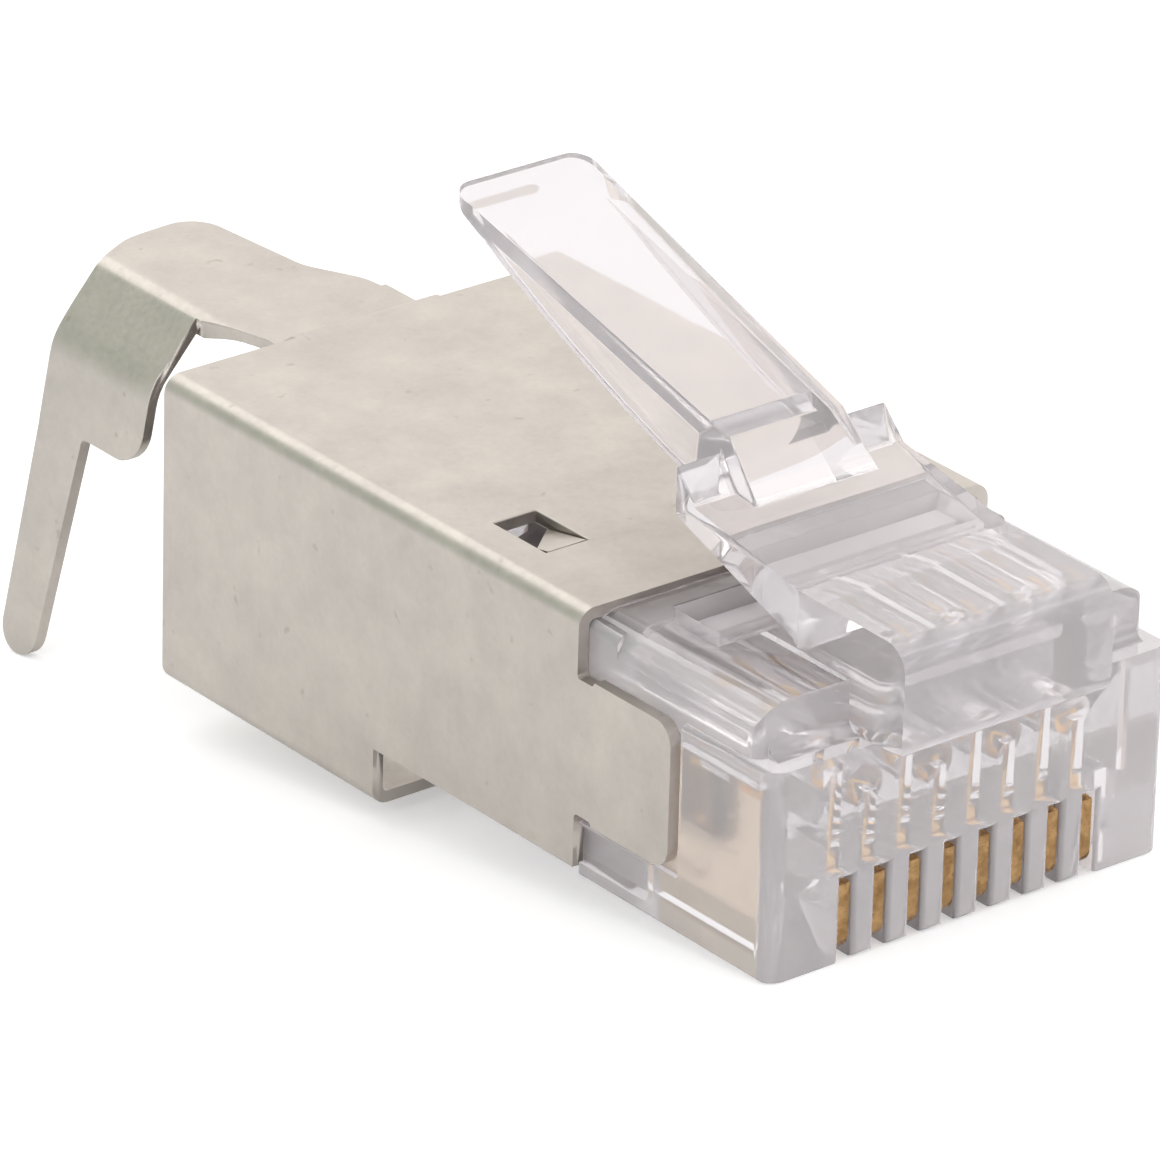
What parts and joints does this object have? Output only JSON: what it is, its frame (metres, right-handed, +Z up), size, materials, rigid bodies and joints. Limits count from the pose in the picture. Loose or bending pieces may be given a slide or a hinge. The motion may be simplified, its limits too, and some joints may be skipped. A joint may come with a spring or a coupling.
{
  "type": "shielded modular plug",
  "caption": "Clear shielded modular plug with a sprung latch, gold contact blades and a folded metal shield that ends in a crimp tail for the cable.",
  "frame": {"origin": "middle of the nose's lower front edge, where the plug enters its jack", "axes": "+X across the plug, +Y from the nose to the cable end, +Z up to the latch side"},
  "size_m": [0.012, 0.0314, 0.0157],
  "materials": {
    "clear_plastic": "clear moulded polycarbonate",
    "nickel_sheet": "satin nickel plating on folded sheet",
    "gold_contact": "gold-plated blade"
  },
  "bodies": {
    "plug": {"plug_body": "clear_plastic", "shield": "nickel_sheet", "contact_1": "gold_contact", "contact_2": "gold_contact", "contact_3": "gold_contact", "contact_4": "gold_contact", "contact_5": "gold_contact", "contact_6": "gold_contact", "contact_7": "gold_contact", "contact_8": "gold_contact"},
    "lever": {"latch": "clear_plastic"}
  },
  "joints": [
    {"name": "latch_flex", "type": "hinge", "parent": "plug", "child": "lever", "pos_m": [0, 0.00275, 0.0072], "axis": [1, 0, 0], "range_deg": [-16, 0], "stiffness_Nm_per_rad": 0.1}
  ]
}
